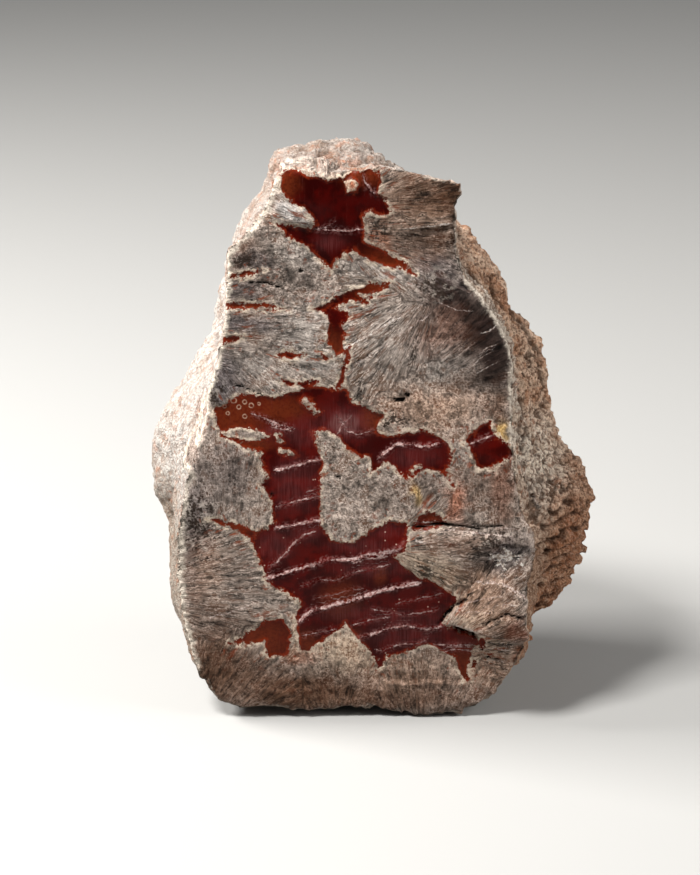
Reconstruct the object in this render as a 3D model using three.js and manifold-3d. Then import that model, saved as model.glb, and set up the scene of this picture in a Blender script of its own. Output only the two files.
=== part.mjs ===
// A rough agate nodule that was broken in two: one piece of stone, about the size of a hand's palm,
// standing upright on a small flat spot.
//
// Its front is a nearly flat broken face with a sharp, uneven rim. Behind the rim the stone first
// grows wider, down a steep flank of granular rind, to its widest outline (the shoulder), and then
// closes over a rounded back that carries a few broken facets.
//
// The body is described by how deep a point lies under its surface, with the rind's lumps, ledges
// and pits added to that depth, and is turned into a mesh from there. The face and the foot are
// then cut off it, which leaves the rim sharp.
//
// Millimetres. +Z is up, +X is to the right and the face looks along -Y. The origin is on the
// resting surface, under the middle of the stone.

import * as THREE from "three";
import { mergeVertices } from "three/addons/utils/BufferGeometryUtils.js";
import { ImprovedNoise } from "three/addons/math/ImprovedNoise.js";
import Module from "manifold-3d";

const { lerp, clamp, smoothstep, degToRad } = THREE.MathUtils;

// ---- Driving dimensions ----

const FACE_FOOT_Y = -22; // the face's plane at the height of the resting surface
const FACE_LEAN = degToRad(6); // the face leans back by this angle
const BACK_Y = 23; // the furthest point of the back
const BACK_OVAL = { width: 58, height: 83 }; // the outline that the back closes over
const MESH_EDGE = 2.6; // the length of the mesh's edges on the rind
const STONE_COLOUR = 0x8f7a6c;

// The middle of the stone seen from the front, [x, z]. Outlines are read round it.
const MIDDLE = [-4, 42];

// The rim of the broken face, [x, z], clockwise as seen from the front, from the top left corner.
const RIM = [
  [-14.9, 86.4], [-11, 86.6], [-7, 85.7], [-4.2, 85.4], [-1.5, 86.8], [1.2, 87.8], [4.5, 87],
  [8.8, 86.8], [14.7, 84.4], [13.6, 81], [12.8, 78.4], [12.3, 74.5], [13.4, 70.7], [15.7, 68],
  [18.7, 64], [20.5, 60.7], [21.4, 57.5], [20.9, 53], [20.8, 48], [21.2, 43], [21.6, 38.5],
  [22.2, 34], [24.1, 31], [25.7, 28.4], [25.1, 24.5], [23.6, 21.2], [24.6, 18], [24.1, 14],
  [22.8, 9.5], [20, 4.6], [15.6, 1.6], [8.1, 0.5], [3.7, 1.3], [0, 2.2], [-3.7, 2.2],
  [-7, 1.5], [-11.6, 1.5], [-15.2, 2.4], [-18.6, 1.6], [-21.6, 1.5], [-24.3, 2.3], [-26.4, 5.2],
  [-28.4, 10.6], [-29.9, 17.2], [-30.4, 23.6], [-30.2, 29.3], [-29.6, 34], [-28.7, 38.5],
  [-27.4, 42.8], [-26.1, 46.4], [-25.2, 50.2], [-24.8, 54], [-24, 59.2], [-23, 64.6],
  [-23, 70], [-23, 75.2], [-20.5, 76.6], [-18.2, 78.2], [-16.2, 81], [-15.4, 83.8],
];

// The shoulder, the widest outline behind the face: [x, z, y], clockwise from the top left.
const SHOULDER = [
  [-15.8, 87.6, -5], [-10.4, 87.2, -4], [-6.7, 88, -4], [-3.5, 88.6, -4], [-0.2, 87.2, -4],
  [2.9, 85.6, -5], [7, 83, -6], [10.8, 81, -7], [10.4, 77.6, -5], [10.2, 75, -1], [14, 71.4, 3],
  [17.6, 67.6, 4], [20.2, 62.6, 4], [21.8, 57.8, 4], [27, 53.2, 4], [28.5, 48, 3], [29.3, 42.3, 2],
  [31.8, 37, 2], [35.3, 33.4, 1], [36.4, 28.8, 1], [35.6, 24.6, 0], [34.8, 19.8, 0], [31.8, 14.2, 0],
  [26.2, 11, -1], [25.2, 6.2, -3], [18.5, 0, 0], [9, -2.4, 1], [-3, -3, 1], [-14, -2.4, 1],
  [-23, 0.6, -2], [-29.6, 6.2, -7], [-32.6, 12.6, -8], [-33.9, 22.8, -4], [-34.8, 29.4, 0],
  [-35.1, 35, 0], [-33.8, 41, 0], [-31.6, 46, 1], [-27.4, 50.4, 2], [-22.8, 55.2, 2], [-20.8, 60, 1],
  [-20.8, 66, 0], [-22.6, 72.8, -6], [-21.3, 76.6, -8], [-18.3, 81.2, -8], [-15.9, 84, -7],
];

// Broken facets of the rind: the way each looks, and how far it lies from the stone's middle.
const FACETS = [
  { looks: [0.5, 0.8, 0.5], distance: 27 },
  { looks: [-0.55, 0.8, 0.1], distance: 25.5 },
  { looks: [0.25, 0.85, -0.55], distance: 29 },
  { looks: [-0.3, 0.75, 0.7], distance: 36 },
  { looks: [0.8, 0.6, -0.1], distance: 32.5 },
];
const FACET_ROUNDING = 1.2; // how softly a facet's edges run out

// Lumps, creases and pits of the rind: size of the form and how far it stands out.
const RIND = {
  swell: { size: 17, rise: 2 },
  lump: { size: 7.5, rise: 2.4 },
  grain: { size: 4.2, rise: 0.9 },
  ledge: { spacing: 4.8, rise: 0.6 },
};

// Deep hollows of the rind, at the notch under the top right corner and beside the lower right of
// the rim: middle, half width, depth.
const HOLLOWS = [
  { at: [15, -12, 79], size: 3.6, depth: 3 },
  { at: [27.5, -15, 26.5], size: 3.4, depth: 2.4 },
  { at: [27, -13, 12.5], size: 3.2, depth: 1.8 },
];

// Swells (rise above 0) and hollows of the broken face: middle [x, z], half widths, rise.
const FACE_FORMS = [
  { at: [-4, 30], size: [17, 15], rise: 0.9 },
  { at: [19, 60], size: [7, 12], rise: -1.9 },
  { at: [10, 80], size: [7, 6], rise: -1.3 },
  { at: [-9, 83], size: [5, 3], rise: 0.5 },
  { at: [-23, 54], size: [6, 9], rise: -0.7 },
  { at: [2, 60], size: [9, 9], rise: 0.7 },
  { at: [-27, 25], size: [5, 8], rise: -0.8 },
  { at: [4, 6], size: [22, 5], rise: -1.2 },
  { at: [18.5, 17.5], size: [5, 4.5], rise: 1.5 },
];

// The ledge across the right of the face: a step down from the block under it to the part above.
const LEDGE = { left: 1, right: 24, height: [31.2, 29.6], rise: 1.1, fall: 12, edge: 0.9 };

// ---- Noise ----

const perlin = new ImprovedNoise();

// Smooth noise from about -1 to 1, whose waves are `size` long.
function waves(p, size, seed) {
  return perlin.noise(p.x / size + seed, p.y / size + 0.7 * seed, p.z / size - seed);
}

// A repeatable number from 0 to 1 for a cell of a grid.
function cellValue(i, j, k, seed) {
  const mixed = Math.sin(i * 127.1 + j * 311.7 + k * 74.7 + seed * 53.3) * 43758.5453;
  return mixed - Math.floor(mixed);
}

// Rounded lumps with creases between them: 1 on top of a lump, falling to about 0 in a crease.
function lumps(p, size, seed) {
  const [i, j, k] = [p.x, p.y, p.z].map((value) => Math.floor(value / size));
  let nearest = Infinity;
  for (let a = i - 1; a <= i + 1; a++)
    for (let b = j - 1; b <= j + 1; b++)
      for (let c = k - 1; c <= k + 1; c++) {
        const x = a + cellValue(a, b, c, seed);
        const y = b + cellValue(a, b, c, seed + 1);
        const z = c + cellValue(a, b, c, seed + 2);
        nearest = Math.min(nearest, Math.hypot(p.x / size - x, p.y / size - y, p.z / size - z));
      }
  return 1 - clamp(nearest, 0, 1) ** 2;
}

// ---- Outlines ----

// The direction of [x, z] from the middle, in radians.
function bearing([x, z]) {
  return Math.atan2(z - MIDDLE[1], x - MIDDLE[0]);
}

// An angle brought into 0 to one turn.
function wrapped(angle) {
  const turn = 2 * Math.PI;
  return ((angle % turn) + turn) % turn;
}

// Where the ray from the middle in a direction meets an outline: the outline's own numbers there.
function outlineAt(outline, direction) {
  for (let i = 0; i < outline.length; i++) {
    const from = outline[i];
    const to = outline[(i + 1) % outline.length];
    const part = wrapped(bearing(from) - direction);
    const turn = wrapped(bearing(from) - bearing(to));
    if (part > turn) continue;
    const near = Math.hypot(from[0] - MIDDLE[0], from[1] - MIDDLE[1]) * Math.sin(part);
    const far = Math.hypot(to[0] - MIDDLE[0], to[1] - MIDDLE[1]) * Math.sin(turn - part);
    return from.map((value, k) => lerp(value, to[k], near / (near + far)));
  }
  throw new Error("an outline does not go all the way round");
}

function distanceFromMiddle([x, z]) {
  return Math.hypot(x - MIDDLE[0], z - MIDDLE[1]);
}

// ---- The body ----

// The y of the broken face's plane at a height.
function facePlane(z) {
  return FACE_FOOT_Y + z * Math.tan(FACE_LEAN);
}

// How deep a point lies under the smooth body's surface.
function smoothDepth(p) {
  const direction = bearing([p.x, p.z]);
  const reach = distanceFromMiddle([p.x, p.z]);
  const shoulder = outlineAt(SHOULDER, direction);
  const widest = distanceFromMiddle(shoulder);
  const shoulderY = shoulder[2];
  if (p.y <= shoulderY) {
    const rim = outlineAt(RIM, direction);
    const behindRim = (p.y - facePlane(rim[1])) / (shoulderY - facePlane(rim[1]));
    const spread = 1 - (1 - Math.max(0, behindRim)) ** 1.4;
    return lerp(distanceFromMiddle(rim), widest, spread) - reach;
  }
  const share = (p.y - shoulderY) / (BACK_Y - shoulderY);
  const oval = Math.hypot(
    (BACK_OVAL.width / 2) * Math.cos(direction),
    (BACK_OVAL.height / 2) * Math.sin(direction),
  );
  const outline = lerp(widest, oval, smoothstep(share, 0, 0.8));
  const slope = Math.hypot(reach / outline ** 2, share / (BACK_Y - shoulderY));
  return (1 - (reach / outline) ** 2 - share ** 2) / (2 * slope + 1e-6);
}

// The depth under the broken facets, softly joined to the depth under the body.
function facetedDepth(p) {
  let depth = smoothDepth(p);
  for (const { looks, distance } of FACETS) {
    const way = new THREE.Vector3(...looks).normalize();
    const under = distance - way.dot(new THREE.Vector3(p.x - MIDDLE[0], p.y, p.z - MIDDLE[1]));
    const blend = clamp(0.5 + (depth - under) / (2 * FACET_ROUNDING), 0, 1);
    depth = lerp(depth, under, blend) - FACET_ROUNDING * blend * (1 - blend);
  }
  return depth;
}

// How far the deep hollows take the rind in.
function hollowDepth(p) {
  let depth = 0;
  for (const { at, size, depth: deepest } of HOLLOWS)
    depth += deepest * Math.exp(-((p.distanceTo(new THREE.Vector3(...at)) / size) ** 2));
  return depth;
}

// How far the rind stands out from the smooth body.
function rindRise(p) {
  const { swell, lump, grain, ledge } = RIND;
  const layer = Math.sin((2 * Math.PI * (p.z + 1.5 * waves(p, 9, 7))) / ledge.spacing);
  return (
    swell.rise * waves(p, swell.size, 3) +
    lump.rise * (lumps(p, lump.size, 11) - 0.75) +
    grain.rise * waves(p, grain.size, 19) +
    ledge.rise * layer * smoothstep(p.x, 8, 24) * (1 - smoothstep(p.z, 20, 46))
  );
}

// ---- The face ----

// How far the face stands out from its plane.
function faceRise(x, z) {
  let rise = 0.2 * waves(new THREE.Vector3(x, 0, z), 3.6, 29);
  for (const { at, size, rise: height } of FACE_FORMS)
    rise += height * Math.exp(-(((x - at[0]) / size[0]) ** 2) - ((z - at[1]) / size[1]) ** 2);
  return rise + ledgeRise(x, z);
}

function ledgeRise(x, z) {
  const share = (x - LEDGE.left) / (LEDGE.right - LEDGE.left);
  const below = lerp(...LEDGE.height, share) - z;
  const ends = smoothstep(share, 0, 0.3);
  return LEDGE.rise * ends * smoothstep(below, 0, LEDGE.edge) * (1 - smoothstep(below, 2, LEDGE.fall));
}

// ---- The solid ----

const wasm = await Module();
wasm.setup();

function toSolid(geometry) {
  geometry.deleteAttribute("normal");
  geometry.deleteAttribute("uv");
  const merged = mergeVertices(geometry, 1e-4);
  return new wasm.Manifold(
    new wasm.Mesh({
      numProp: 3,
      vertProperties: new Float32Array(merged.getAttribute("position").array),
      triVerts: new Uint32Array(merged.index.array),
    }),
  );
}

function toGeometry(solid) {
  const mesh = solid.getMesh();
  const geometry = new THREE.BufferGeometry();
  geometry.setAttribute("position", new THREE.BufferAttribute(mesh.vertProperties, 3));
  geometry.setIndex(new THREE.BufferAttribute(mesh.triVerts, 1));
  geometry.computeVertexNormals();
  return geometry;
}

// The whole nodule in front of, behind and below what is left of it today.
function makeBody() {
  const bounds = { min: [-44, -27, -8], max: [44, 30, 98] };
  const depth = ([x, y, z]) => {
    const p = new THREE.Vector3(x, y, z);
    const behindFace = y - facePlane(z);
    const worn = lerp(0.2, 1, smoothstep(behindFace, 0, 7)); // the rind is worn down at the rim
    return facetedDepth(p) + worn * rindRise(p) - hollowDepth(p);
  };
  return wasm.Manifold.levelSet(depth, bounds, MESH_EDGE);
}

// The part broken off in front of the face: its far side carries the face's forms.
function frontBlock() {
  const block = new THREE.BoxGeometry(76, 20, 104, 34, 1, 64);
  block.translate(0, 0, 44);
  const position = block.getAttribute("position");
  for (let i = 0; i < position.count; i++) {
    const [x, z] = [position.getX(i), position.getZ(i)];
    if (position.getY(i) > 0) position.setY(i, facePlane(z) - faceRise(x, z));
    else position.setY(i, -60);
  }
  return toSolid(block);
}

// A block whose top is the resting surface: cutting it away leaves the flat spot.
function groundBlock() {
  const block = new THREE.BoxGeometry(120, 120, 20);
  block.translate(0, 0, -10);
  return toSolid(block);
}

// The stone, moved so that the origin is under its middle.
function makeStone() {
  const solid = makeBody().subtract(frontBlock()).subtract(groundBlock()).simplify(0.09);
  const { min, max } = solid.boundingBox();
  return solid.translate(-(min[0] + max[0]) / 2, -(min[1] + max[1]) / 2, 0);
}

const stone = new THREE.Mesh(
  toGeometry(makeStone()),
  new THREE.MeshStandardMaterial({ color: STONE_COLOUR, roughness: 0.85, metalness: 0 }),
);
stone.name = "stone";

const geode = new THREE.Group();
geode.name = "agate_geode";
geode.add(stone);

export default geode;
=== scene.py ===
import math
from functools import partial

import bmesh
import bpy
import numpy as np
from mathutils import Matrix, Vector, kdtree, noise


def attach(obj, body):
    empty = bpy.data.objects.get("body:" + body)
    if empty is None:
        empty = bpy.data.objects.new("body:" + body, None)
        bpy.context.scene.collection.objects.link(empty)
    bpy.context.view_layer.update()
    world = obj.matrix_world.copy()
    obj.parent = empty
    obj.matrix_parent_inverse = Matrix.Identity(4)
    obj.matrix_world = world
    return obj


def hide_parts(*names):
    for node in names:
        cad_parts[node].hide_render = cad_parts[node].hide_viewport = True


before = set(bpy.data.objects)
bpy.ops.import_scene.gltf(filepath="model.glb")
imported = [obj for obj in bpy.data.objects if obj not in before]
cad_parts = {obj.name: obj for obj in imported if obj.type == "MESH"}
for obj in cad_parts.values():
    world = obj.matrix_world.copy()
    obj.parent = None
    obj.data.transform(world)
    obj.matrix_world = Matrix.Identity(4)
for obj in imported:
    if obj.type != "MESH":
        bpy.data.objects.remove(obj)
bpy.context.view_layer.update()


# ---- The floor ----
# A plain pale sheet that the stone stands on, matt and smooth, and wide enough to fill the view.

FLOOR_REACH = 3.0  # m
FLOOR_COLOUR = (0.3, 0.296, 0.288)

floor_shape = bmesh.new()
bmesh.ops.create_grid(floor_shape, x_segments=1, y_segments=1, size=FLOOR_REACH)
floor_mesh = bpy.data.meshes.new("floor")
floor_shape.to_mesh(floor_mesh)
floor_shape.free()
floor = bpy.data.objects.new("floor", floor_mesh)
bpy.context.scene.collection.objects.link(floor)

matt_sheet = bpy.data.materials.new("matt_sheet")
matt_sheet.use_nodes = True
matt_sheet_shader = matt_sheet.node_tree.nodes["Principled BSDF"]
matt_sheet_shader.inputs["Base Color"].default_value = (*FLOOR_COLOUR, 1)
matt_sheet_shader.inputs["Roughness"].default_value = 0.9
floor_mesh.materials.append(matt_sheet)


# ---- The studio light ----
# A soft lamp high at the left, a little behind the stone, gives it its bright left flank. A smaller
# one over the front rakes down the broken face, a broad one at the right fills the right flank, and
# a pale room lights the rest.

AIM = Vector((0, 0, 0.045))  # m, the middle of the stone
ROOM_COLOUR = (0.92, 0.94, 0.97)
ROOM_STRENGTH = 0.15


def soft_lamp(name, place, size, power, colour):
    """A square lamp that looks at the stone: its place and size in metres, its power in watts."""
    light = bpy.data.lights.new(name, "AREA")
    light.size = size
    light.energy = power
    light.color = colour
    lamp = bpy.data.objects.new(name, light)
    lamp.location = place
    lamp.rotation_euler = (AIM - Vector(place)).to_track_quat("-Z", "Y").to_euler()
    bpy.context.scene.collection.objects.link(lamp)


soft_lamp("high_left_lamp", (-0.42, 0.10, 0.36), 0.18, 5.8, (1.0, 0.985, 0.96))
soft_lamp("raking_lamp", (-0.18, -0.11, 0.40), 0.10, 3.6, (1.0, 0.99, 0.97))
soft_lamp("right_fill", (0.60, -0.08, 0.30), 0.45, 4.6, (1.0, 0.98, 0.95))

room = bpy.data.worlds.new("pale_room")
room.use_nodes = True
room_light = room.node_tree.nodes["Background"]
room_light.inputs["Color"].default_value = (*ROOM_COLOUR, 1)
room_light.inputs["Strength"].default_value = ROOM_STRENGTH
bpy.context.scene.world = room
bpy.context.scene.view_settings.view_transform = "Standard"


# ---- The camera ----
# A long lens that looks straight at the broken face from a little above.

CAMERA_AT = (-0.003476, -0.403628, 0.185778)  # m
CAMERA_PITCH = math.radians(-20)

camera_lens = bpy.data.cameras.new("camera")
camera_lens.lens = 110
camera_lens.sensor_width = 36
camera = bpy.data.objects.new("camera", camera_lens)
camera.location = CAMERA_AT
camera.rotation_euler = (math.pi / 2 + CAMERA_PITCH, 0, 0)
bpy.context.scene.collection.objects.link(camera)
bpy.context.scene.camera = camera


# ---- The nodule's skin ----
# One broken half of an agate nodule, a lump of quartz that grew in rock and was cracked open. Its
# skin is taken from the frame's solid and laid as an even net of small faces, finer where the
# broken face and the crumbly right flank need it.

MM = 0.001  # the frame is in metres, and the stone's own sizes are given in millimetres
NET = 0.65  # mm, the net's spacing, halved on the face and on the right flank
FACE_FOOT = -23.1  # mm, the y of the broken face's plane at the floor
FACE_LEAN = math.radians(6)  # how far back the face leans
FACE_OUT = np.array((0, -math.cos(FACE_LEAN), math.sin(FACE_LEAN)))
FACE_DEPTH = 3.5  # mm, how far behind its plane the face's hollows go
FLANK_FROM = 13  # mm, the x where the right flank begins
FLANK_DEPTH = 17  # mm, how far behind the face's plane its net is fine
SOFT_DEPTH = 22  # mm behind the plane, as far as the fine net is softened once more
WELD = 0.001  # mm, how near two corners are that belong together

cad_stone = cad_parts["stone"]
skin = bmesh.new()
skin.from_mesh(cad_stone.data)
bmesh.ops.remove_doubles(skin, verts=skin.verts, dist=WELD * MM)
solid_mesh = bpy.data.meshes.new("nodule")
skin.to_mesh(solid_mesh)
skin.free()

nodule = bpy.data.objects.new("agate_nodule", solid_mesh)
bpy.context.scene.collection.objects.link(nodule)
net = nodule.modifiers.new("net", "REMESH")
net.mode = "VOXEL"
net.voxel_size = NET * MM
bpy.context.view_layer.update()
netted = nodule.evaluated_get(bpy.context.evaluated_depsgraph_get())
nodule_mesh = bpy.data.meshes.new_from_object(netted)
nodule.modifiers.clear()
nodule.data = nodule_mesh


def behind_face(points):
    """How far each point, in mm, lies behind the plane of the broken face."""
    return points[:, 1] - FACE_FOOT - points[:, 2] * math.tan(FACE_LEAN)


def soften(verts):
    """Evens out the stairs that the net leaves on a slope."""
    bmesh.ops.smooth_vert(skin, verts=verts, factor=0.5, use_axis_x=True, use_axis_y=True, use_axis_z=True)


skin = bmesh.new()
skin.from_mesh(nodule_mesh)
soften(skin.verts)
soften(skin.verts)
skin.normal_update()
middles = np.array([face.calc_center_median() for face in skin.faces]) / MM
normals = np.array([face.normal for face in skin.faces])
depths = behind_face(middles)
on_face = (normals @ FACE_OUT > 0.75) & (depths < FACE_DEPTH)
on_flank = (middles[:, 0] > FLANK_FROM) & (depths < FLANK_DEPTH) & (normals[:, 1] < 0.3)
fine_faces = [face for face, fine in zip(skin.faces, on_face | on_flank) if fine]
fine_edges = sorted({edge for face in fine_faces for edge in face.edges}, key=lambda edge: edge.index)
bmesh.ops.subdivide_edges(skin, edges=fine_edges, cuts=1, use_grid_fill=True)
depths = behind_face(np.array([vert.co for vert in skin.verts]) / MM)
soften([vert for vert, depth in zip(skin.verts, depths) if depth < SOFT_DEPTH])
skin.to_mesh(nodule_mesh)
skin.free()


def numbers(collection, name, width):
    """An attribute of all of a mesh's items, as an array."""
    values = np.empty(len(collection) * width)
    collection.foreach_get(name, values)
    return values.reshape(-1, width)


points = numbers(nodule_mesh.vertices, "co", 3) / MM
outward = numbers(nodule_mesh.vertex_normals, "vector", 3)
count = len(points)
x, y, z = points.T
behind = behind_face(points)
facing = outward @ FACE_OUT

# The face's edge rolls over at the top and at the left of the stone, and still is the face there.
rolled_top = np.hypot((x + 7) / 7, (z - 87) / 3) < 1
rolled_left = (x < -20) & (z > 40) & (z < 68)
is_face = (facing > np.where(rolled_top | rolled_left, 0.4, 0.72)) & (behind < FACE_DEPTH)
rind_tree = kdtree.KDTree(int((~is_face).sum()))
for i, p in enumerate(points[~is_face]):
    rind_tree.insert(p, i)
rind_tree.balance()
rim_gap = np.zeros(count)  # mm from the rim, on the face
rim_gap[is_face] = [rind_tree.find(p)[2] for p in points[is_face]]


# ---- The markings of the broken face ----
# Dark red agate fills gashes in the grey fibrous stone, with small islands of the stone in it. The
# outlines are [x, z] in mm on the face.

AGATE = {
    "top": [
        (-14.2, 86.7), (-11, 86.3), (-8.9, 85.5), (-6.5, 85.1), (-4.5, 85.4), (-3.2, 86.1), (-1.8, 86.1),
        (-0.8, 87), (0.6, 86.1), (1.3, 84.5), (0.9, 83), (2.4, 81), (2.1, 79.5), (0.9, 79.7), (-0.3, 80.3),
        (-1.8, 79.2), (-1.2, 77.5), (-1.4, 75.9), (-1.8, 74.4), (-2.9, 74.8), (-5.6, 73.1), (-6.3, 71.3),
        (-7.9, 73), (-10, 75.1), (-12.7, 76.5), (-14.2, 78.3), (-14.5, 78.7), (-11, 78), (-9.3, 77.7),
        (-8.6, 78.3), (-9.9, 80.3), (-12, 81.9), (-13.7, 83.4),
    ],
    "top_tail": [
        (-3.2, 75.6), (-1.8, 76), (0.2, 75), (2.9, 73.5), (5.1, 72.2), (6.5, 70.8), (2.8, 71.8),
        (-0.3, 72.8), (-2.2, 73.8),
    ],
    "gash_1": [(-21.6, 70.1), (-19.6, 71.3), (-16.2, 71.3), (-19.6, 70.6)],
    "gash_2": [
        (-22.8, 66.3), (-18.6, 66.4), (-15.4, 66.1), (-12.5, 65.2), (-15.4, 65.4), (-18.6, 65.6),
        (-22.8, 65.5),
    ],
    "gash_3": [(-23.5, 60.1), (-22.3, 61), (-19.6, 61.2), (-20.5, 60.3), (-22.3, 59.8)],
    "gash_4": [(-14.6, 58.4), (-12.6, 58.9), (-10.3, 58.4), (-11.7, 57.8), (-14.1, 57.9)],
    "gash_5": [(-8.2, 58.9), (-6.3, 57.8), (-7.8, 57.8)],
    "branch": [
        (-9.4, 65.5), (-6.7, 66.4), (-3.8, 68.3), (-1.1, 69.2), (-0.3, 69.6), (2.7, 69.5), (2.4, 68.9),
        (0.3, 68.1), (-1.8, 66.7), (-3.8, 67), (-5.6, 65.6), (-7.7, 65),
    ],
    "branch_twig": [(-2, 66.9), (-0.3, 67.2), (-0.8, 66.7), (-1.7, 66.4)],
    "column": [
        (-7.6, 65.6), (-5.6, 65.8), (-3.5, 64.7), (-4.8, 63.3), (-4.2, 62.4), (-4.5, 60.9), (-4.2, 58.9),
        (-5.6, 58.4), (-6.1, 59.5), (-6.7, 60.6), (-7, 62), (-6.7, 63.5),
    ],
    "column_foot": [(-4.1, 60), (-3.5, 60), (-3.9, 56.7), (-4.8, 53.4), (-5.5, 53.4), (-4.6, 56.7)],
    "band": [
        (-24.3, 49.7), (-22.3, 50.8), (-19.5, 52.2), (-15.5, 51.7), (-13.6, 52), (-12.2, 52.8), (-9, 53.8),
        (-7.3, 53.4), (-4.1, 53.1), (-3.2, 51.4), (-1, 50), (1.7, 49.2), (1, 48.1), (0.4, 46.7),
        (2.5, 45.6), (5, 46.4), (8, 46.7), (9.9, 45.8), (11.6, 44.7), (12.2, 42.8), (11.3, 40.3),
        (12.5, 37.9), (10.2, 40.3), (8.1, 40.7), (5, 39), (3.4, 41), (2.2, 41.8), (1, 41.4), (-0.1, 39.9),
        (-0.4, 42.5), (-2.4, 42.8), (-3.8, 43.9), (-5.2, 45.6), (-7.3, 46.9), (-9.3, 46.4), (-7.9, 42.9),
        (-7.6, 41), (-7.9, 39), (-8.1, 35.7), (-8, 32), (-8.6, 30), (-15.2, 30), (-15.5, 35.3),
        (-16.1, 36.3), (-17.2, 38.2), (-15.9, 39.6), (-17, 41), (-17, 43.3), (-19.6, 43.9), (-20.5, 44.7),
        (-23.4, 45.6), (-24, 47.8),
    ],
    "band_start": [(-14, 54.4), (-12.2, 54.3), (-11.7, 53.8), (-13.2, 53.9)],
    "band_start_2": [(-11.6, 54.2), (-8.2, 54.3), (-9.3, 53.5), (-11.3, 53.5)],
    "right": [
        (13.9, 45.1), (17.8, 48), (18.8, 45.8), (20.6, 44.5), (21.4, 42.6), (19.4, 41.7), (18.5, 40.6),
        (16.4, 40.7), (15.4, 42.5), (14.5, 44.2),
    ],
    "lower": [
        (-15.2, 36), (-8.1, 36), (-8, 32), (-6.3, 29.4), (-3.2, 29.1), (-0.2, 31.2), (2.9, 32.6),
        (5.5, 32.3), (5.2, 28.8), (3.2, 27), (4.3, 25.7), (7.6, 23.6), (9.9, 22.5), (12.8, 20.7),
        (12.8, 19.3), (11.6, 17.6), (10.9, 15.8), (12.6, 15.1), (16.3, 13.8), (16.5, 12.4), (15.7, 11.2),
        (15.3, 9.6), (15, 8.2), (15.5, 6.2), (14.4, 6), (13.7, 8), (13.1, 10.2), (10.8, 11.3), (9, 12.6),
        (5, 11), (2.3, 10.5), (1.2, 8), (-0.5, 11.3), (-2.5, 13.7), (-4.3, 16.2), (-4.9, 15.2), (-9, 12.3),
        (-10, 11), (-11.3, 11.6), (-11.6, 15.2), (-12, 18), (-11, 19), (-12.3, 20.4), (-15.3, 21.9),
        (-16.7, 23.6), (-17.6, 26.1), (-19, 29.1), (-18, 30.6), (-14.9, 32.3),
    ],
    "speck_1": [(16.6, 13.8), (17.5, 13.6), (17.5, 11.7), (16.8, 11.4), (16.4, 12.4)],
    "speck_2": [(15.7, 9.5), (16.5, 9.6), (16.4, 8.3), (15.7, 8.2)],
    "speck_3": [(18, 10.4), (19, 10.9), (18.9, 10.1)],
    "lower_left": [
        (-22.6, 12.3), (-20.2, 13.7), (-16.7, 16.2), (-14.1, 16.8), (-12.7, 14.4), (-13.3, 10.5),
        (-16.5, 10.1), (-16.8, 13.1), (-19.9, 12.3),
    ],
    "over_the_ledge": [(6.6, 32.7), (8.6, 34.1), (10.6, 33.3), (11.5, 31.8), (8.9, 31.3), (6.3, 31.2)],
    "tail": [(-25.7, 32.6), (-21.3, 32.2), (-18, 30.9), (-18.6, 29), (-21, 30.9), (-23.9, 31.7)],
}

# Islands of the grey stone inside the agate.
ISLANDS = {
    "lens": [
        (-23.4, 46.2), (-21.6, 47), (-18.8, 47), (-15.1, 45.8), (-17, 45.1), (-19.9, 45.1), (-22.2, 45.5),
    ],
    "shard": [(-11, 51.4), (-10.2, 51.5), (-8.2, 49.8), (-8.4, 48.9), (-9.4, 49.8)],
    "bead": [(-2.4, 68), (-1.7, 68.3), (-0.6, 67.8), (-1.5, 67.3)],
    "crumb_1": [(-14.9, 46.3), (-13.9, 46.2), (-13.9, 44.9), (-14.6, 44.8)],
    "crumb_2": [(-14.6, 43.9), (-12.8, 43.5), (-11.3, 42.6), (-12.8, 42.8), (-14.5, 43.2)],
    "crumb_3": [(5.5, 40.3), (6.9, 41.4), (7.3, 40.9), (6.1, 40)],
    "crystals": [(-4.3, 84.9), (-3.2, 85.3), (-2.2, 84.6), (-2.6, 83.4), (-3.8, 83.3)],
    "crumb_4": [(-10.4, 52), (-9.6, 51.8), (-9.5, 51.1), (-10.2, 51.3)],
}


def vein(path, width, step=0.0, in_stone=0.0):
    """A white seam, or a bare ledge where it has no width. Its path runs from left to right."""
    return {"path": path, "width": width, "step": step, "in_stone": in_stone}


def crack(path, width, depth, step=0.0):
    """An open gap, which the finish paints dark as the shade inside it. Its path runs from left to right.
    """
    return {"path": path, "width": width, "depth": depth, "step": step}


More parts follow.
